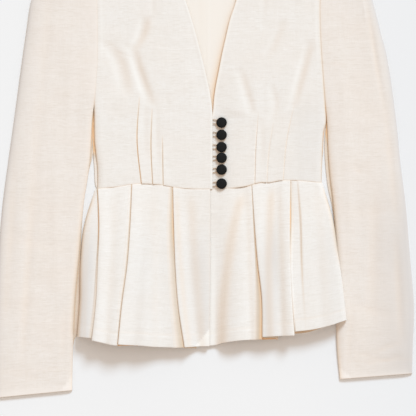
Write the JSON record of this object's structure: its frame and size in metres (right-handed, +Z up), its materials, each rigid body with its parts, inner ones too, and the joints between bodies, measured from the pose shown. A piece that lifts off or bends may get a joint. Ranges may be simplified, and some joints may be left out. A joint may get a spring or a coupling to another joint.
{
  "type": "peplum jacket",
  "caption": "Collarless fitted jacket in ivory linen with a deep V neck, covered buttons in cord loops, waist tucks and a pleated peplum, laid flat and face up.",
  "frame": {"origin": "on the surface that the jacket lies on, below the centre of its bounding box", "axes": "+Y along the jacket towards the neck, the longest side of the box; +Z up from the surface, out of the front of the jacket; +X towards the wearer's left"},
  "size_m": [0.5957, 0.706, 0.0246],
  "materials": {
    "body_cloth": "ivory slubbed linen, matt, two layers",
    "sleeve_cloth": "ivory slubbed linen, matt, slightly pinker",
    "lining": "smooth cream lining, soft sheen",
    "button_cloth": "black woven cover, matt",
    "cord": "ivory twisted cord"
  },
  "bodies": {
    "root": {"bodice_back": "body_cloth", "back_lining": "lining", "front_right": "body_cloth", "front_left": "body_cloth", "peplum_back": "body_cloth", "peplum_front_right": "body_cloth", "peplum_front_left": "body_cloth", "sleeve_right_upper": "sleeve_cloth", "sleeve_right_under": "sleeve_cloth", "sleeve_left_upper": "sleeve_cloth", "sleeve_left_under": "sleeve_cloth", "button_1": "button_cloth", "button_2": "button_cloth", "button_3": "button_cloth", "button_4": "button_cloth", "button_5": "button_cloth", "button_6": "button_cloth", "loop_1": "cord", "loop_2": "cord", "loop_3": "cord", "loop_4": "cord", "loop_5": "cord", "loop_6": "cord"}
  },
  "joints": []
}
